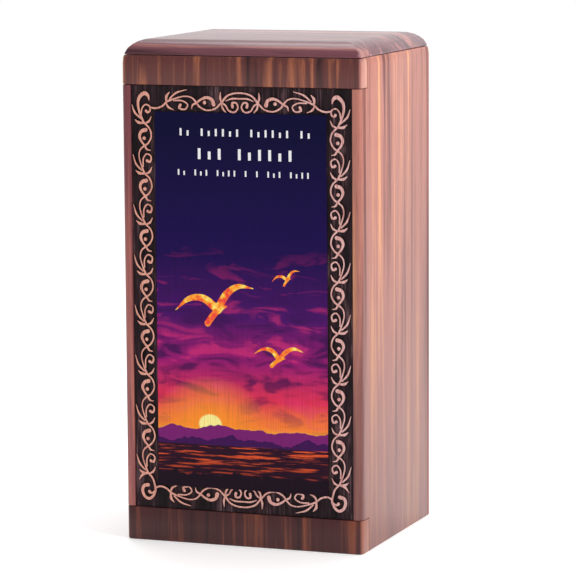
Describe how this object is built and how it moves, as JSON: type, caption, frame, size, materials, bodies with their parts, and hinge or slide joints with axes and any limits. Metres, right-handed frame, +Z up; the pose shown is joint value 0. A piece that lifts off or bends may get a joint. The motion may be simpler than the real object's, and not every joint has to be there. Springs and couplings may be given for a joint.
{
  "type": "cremation urn box",
  "caption": "Upright rosewood cremation urn box with rounded top edges and an engraved front panel: raised scroll border around a flat colour-printed picture field.",
  "frame": {"origin": "centre of the footprint, on the plane that the box stands on", "axes": "+Z up, the engraved front faces -Y, +X is to the right for someone who looks at the front"},
  "size_m": [0.14, 0.12, 0.28],
  "materials": {
    "top_board_wood": "satin lacquered rosewood, grain from side to side",
    "left_wall_wood": "satin lacquered rosewood, upright grain",
    "right_wall_wood": "satin lacquered rosewood, upright wavy grain, salmon to brown",
    "front_top_rail_wood": "satin lacquered dark rosewood",
    "front_bottom_rail_wood": "satin lacquered dark rosewood",
    "panel_engraved_wood": "engraved dark ground, pale scroll tops and a printed sunset picture field",
    "back_board_wood": "satin lacquered rosewood, plain",
    "base_plate_wood": "plain dull wood",
    "screw_steel": "plated steel screw heads"
  },
  "bodies": {
    "root": {"top_board": "top_board_wood", "left_wall": "left_wall_wood", "right_wall": "right_wall_wood", "front_top_rail": "front_top_rail_wood", "front_bottom_rail": "front_bottom_rail_wood", "front_panel": "panel_engraved_wood", "back_board": "back_board_wood", "base_plate": "base_plate_wood", "base_screw_1": "screw_steel", "base_screw_2": "screw_steel", "base_screw_3": "screw_steel", "base_screw_4": "screw_steel"}
  },
  "joints": []
}
